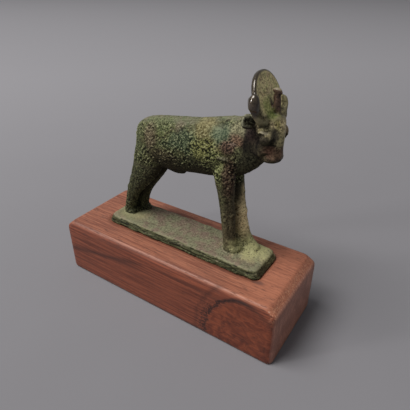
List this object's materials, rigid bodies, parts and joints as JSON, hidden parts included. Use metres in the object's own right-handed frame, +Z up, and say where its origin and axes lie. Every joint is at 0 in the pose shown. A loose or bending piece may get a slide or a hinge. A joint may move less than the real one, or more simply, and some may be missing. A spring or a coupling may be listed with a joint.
{
  "type": "apis bull figure",
  "caption": "Small cast bronze figure of a striding bull with a sun disc between its horns, on its own bronze plinth, set on a block of polished wood.",
  "frame": {"origin": "centre of the underside of the wooden base", "axes": "+Z up, +X the way the bull walks, along the length of the base, +Y to the bull's left"},
  "size_m": [0.11, 0.0406, 0.1033],
  "materials": {
    "patinated_bronze": "old green and brown patina, granular on the flank, glossy brown on the horn and the rim of the disc",
    "polished_wood": "reddish brown rosewood with dark grain, satin polish"
  },
  "bodies": {
    "root": {"apis_bull": "patinated_bronze", "wooden_base": "polished_wood"}
  },
  "joints": []
}
